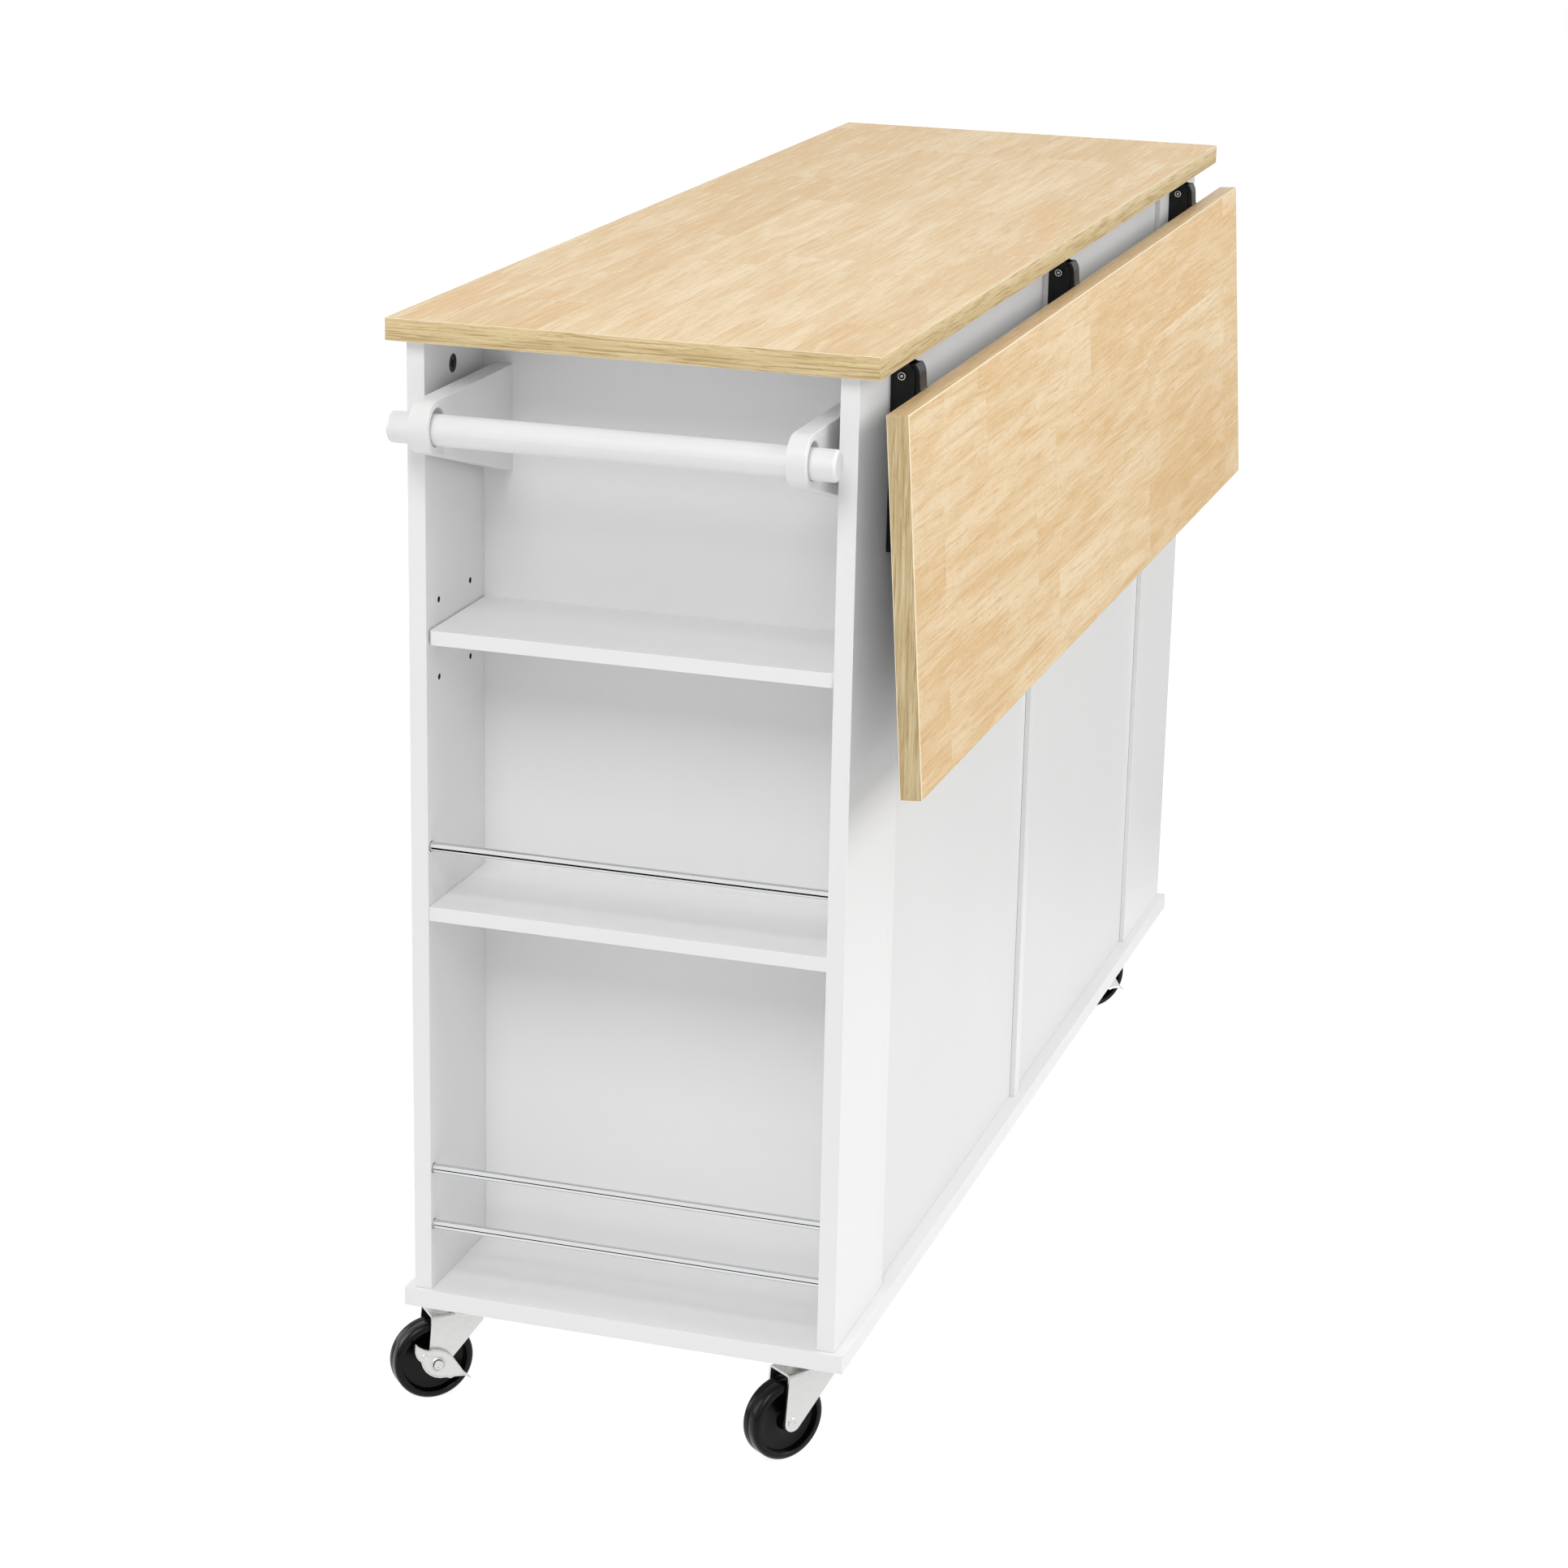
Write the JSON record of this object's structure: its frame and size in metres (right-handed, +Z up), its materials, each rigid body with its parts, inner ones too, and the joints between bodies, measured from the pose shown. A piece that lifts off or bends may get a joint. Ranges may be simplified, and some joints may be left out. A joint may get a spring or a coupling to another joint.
{
  "type": "kitchen island",
  "caption": "Kitchen island on casters with a drop leaf, two drawers over two doors, open shelf bays at both ends and a towel rail.",
  "frame": {"origin": "on the floor, below the middle of the island's bounding box, with the leaf hanging", "axes": "+X along the island towards the end with the towel rail, +Y from the doors towards the drop leaf, +Z up"},
  "size_m": [1.285, 0.4596, 0.932],
  "materials": {
    "oak_laminate": "pale oak look laminate, satin, with matching edge banding",
    "white_melamine": "white melamine on particle board, satin",
    "white_lacquer": "white lacquered wood, satin",
    "white_hardboard": "white faced hardboard",
    "chrome_steel": "bright chrome plate",
    "zinc_steel": "bright zinc plated pressed steel",
    "black_steel": "black powder coat",
    "black_polypropylene": "glossy black moulded wheel",
    "cam_zinc": "dark die-cast zinc alloy",
    "satin_nickel": "satin nickel plate"
  },
  "bodies": {
    "cabinet": {"worktop": "oak_laminate", "base_board": "white_melamine", "near_front_board": "white_melamine", "near_back_board": "white_melamine", "far_front_board": "white_melamine", "far_back_board": "white_melamine", "near_divider": "white_melamine", "mid_divider": "white_melamine", "far_divider": "white_melamine", "near_back_panel": "white_hardboard", "far_back_panel": "white_hardboard", "top_rails": "white_melamine", "drawer_decks": "white_melamine", "near_middle_shelf": "white_melamine", "near_upper_shelf": "white_melamine", "far_middle_shelf": "white_melamine", "far_upper_shelf": "white_melamine", "cupboard_shelves": "white_melamine", "shelf_pins": "zinc_steel", "cam_locks": "cam_zinc", "middle_guard_rail": "chrome_steel", "upper_guard_rail": "chrome_steel", "lower_guard_rail": "chrome_steel", "towel_bracket_front": "white_lacquer", "towel_bracket_back": "white_lacquer", "bracket_wall_plates": "black_steel", "cabinet_slides": "zinc_steel", "cabinet_hinges": "satin_nickel", "caster_plates": "zinc_steel"},
    "towel_rail": {"towel_rod": "white_lacquer"},
    "leaf": {"drop_leaf": "oak_laminate", "leaf_arms": "black_steel"},
    "lower_linkage": {"lower_links": "black_steel"},
    "upper_linkage": {"upper_links": "black_steel"},
    "near_door_leaf": {"near_door": "white_melamine", "near_door_knob": "satin_nickel", "near_door_hinges": "satin_nickel"},
    "near_drawer": {"near_drawer_front": "white_melamine", "near_drawer_box": "white_melamine", "near_drawer_bottom": "white_hardboard", "near_drawer_knob": "satin_nickel", "near_drawer_slides": "zinc_steel"},
    "far_door_leaf": {"far_door": "white_melamine", "far_door_knob": "satin_nickel", "far_door_hinges": "satin_nickel"},
    "far_drawer": {"far_drawer_front": "white_melamine", "far_drawer_box": "white_melamine", "far_drawer_bottom": "white_hardboard", "far_drawer_knob": "satin_nickel", "far_drawer_slides": "zinc_steel"},
    "near_front_caster": {"near_front_fork": "zinc_steel"},
    "near_front_wheel_body": {"near_front_wheel": "black_polypropylene"},
    "near_front_brake": {"near_front_brake_lever": "zinc_steel"},
    "near_back_caster": {"near_back_fork": "zinc_steel"},
    "near_back_wheel_body": {"near_back_wheel": "black_polypropylene"},
    "far_front_caster": {"far_front_fork": "zinc_steel"},
    "far_front_wheel_body": {"far_front_wheel": "black_polypropylene"},
    "far_back_caster": {"far_back_fork": "zinc_steel"},
    "far_back_wheel_body": {"far_back_wheel": "black_polypropylene"},
    "far_back_brake": {"far_back_brake_lever": "zinc_steel"}
  },
  "joints": [
    {"name": "leaf_hinge", "type": "hinge", "parent": "cabinet", "child": "leaf", "pos_m": [-0.0225, 0.1772, 0.9], "axis": [1, 0, 0], "range_deg": [0, 86.2]},
    {"name": "lower_link_pivot", "type": "hinge", "parent": "cabinet", "child": "lower_linkage", "pos_m": [-0.0225, 0.1772, 0.78], "axis": [1, 0, 0], "range_deg": [-52.65, 0]},
    {"name": "upper_link_pivot", "type": "hinge", "parent": "leaf", "child": "upper_linkage", "pos_m": [-0.0225, 0.19578, 0.71081], "axis": [1, 0, 0], "range_deg": [0, 31.26]},
    {"name": "towel_rod_turn", "type": "hinge", "parent": "cabinet", "child": "towel_rail", "pos_m": [0.6215, -0.0158, 0.8525], "axis": [0, 1, 0], "continuous": true},
    {"name": "near_door_hinge", "type": "hinge", "parent": "cabinet", "child": "near_door_leaf", "pos_m": [0.44825, -0.2032, 0.1125], "axis": [0, 0, 1], "range_deg": [0, 110]},
    {"name": "near_drawer_slide", "type": "slide", "parent": "cabinet", "child": "near_drawer", "axis": [0, -1, 0], "range_m": [0, 0.22]},
    {"name": "far_door_hinge", "type": "hinge", "parent": "cabinet", "child": "far_door_leaf", "pos_m": [-0.46425, -0.2032, 0.1125], "axis": [0, 0, -1], "range_deg": [0, 110]},
    {"name": "far_drawer_slide", "type": "slide", "parent": "cabinet", "child": "far_drawer", "axis": [0, -1, 0], "range_m": [0, 0.22]},
    {"name": "near_front_swivel", "type": "hinge", "parent": "cabinet", "child": "near_front_caster", "pos_m": [0.5385, -0.1708, 0.0915], "axis": [0, 0, 1], "continuous": true},
    {"name": "near_front_roll", "type": "hinge", "parent": "near_front_caster", "child": "near_front_wheel_body", "pos_m": [0.56125, -0.19607, 0.035], "axis": [0.7431, 0.6691, 0], "continuous": true},
    {"name": "near_front_brake_turn", "type": "hinge", "parent": "near_front_caster", "child": "near_front_brake", "pos_m": [0.56125, -0.19607, 0.035], "axis": [0.7431, 0.6691, 0], "range_deg": [0, 50]},
    {"name": "near_back_swivel", "type": "hinge", "parent": "cabinet", "child": "near_back_caster", "pos_m": [0.5385, 0.1392, 0.0915], "axis": [0, 0, 1], "continuous": true},
    {"name": "near_back_roll", "type": "hinge", "parent": "near_back_caster", "child": "near_back_wheel_body", "pos_m": [0.56601, 0.11921, 0.035], "axis": [0.5878, 0.809, 0], "continuous": true},
    {"name": "far_front_swivel", "type": "hinge", "parent": "cabinet", "child": "far_front_caster", "pos_m": [-0.5835, -0.1708, 0.0915], "axis": [0, 0, 1], "continuous": true},
    {"name": "far_front_roll", "type": "hinge", "parent": "far_front_caster", "child": "far_front_wheel_body", "pos_m": [-0.55946, -0.19484, 0.035], "axis": [0.7071, 0.7071, 0], "continuous": true},
    {"name": "far_back_swivel", "type": "hinge", "parent": "cabinet", "child": "far_back_caster", "pos_m": [-0.5835, 0.1392, 0.0915], "axis": [0, 0, 1], "continuous": true},
    {"name": "far_back_roll", "type": "hinge", "parent": "far_back_caster", "child": "far_back_wheel_body", "pos_m": [-0.55823, 0.11645, 0.035], "axis": [0.6691, 0.7431, 0], "continuous": true},
    {"name": "far_back_brake_turn", "type": "hinge", "parent": "far_back_caster", "child": "far_back_brake", "pos_m": [-0.55823, 0.11645, 0.035], "axis": [0.6691, 0.7431, 0], "range_deg": [0, 50]}
  ],
  "couplings": [
    {"joint": "lower_link_pivot", "follows": "leaf_hinge", "ratio": -0.60952},
    {"joint": "upper_link_pivot", "follows": "leaf_hinge", "ratio": 0.3619}
  ]
}
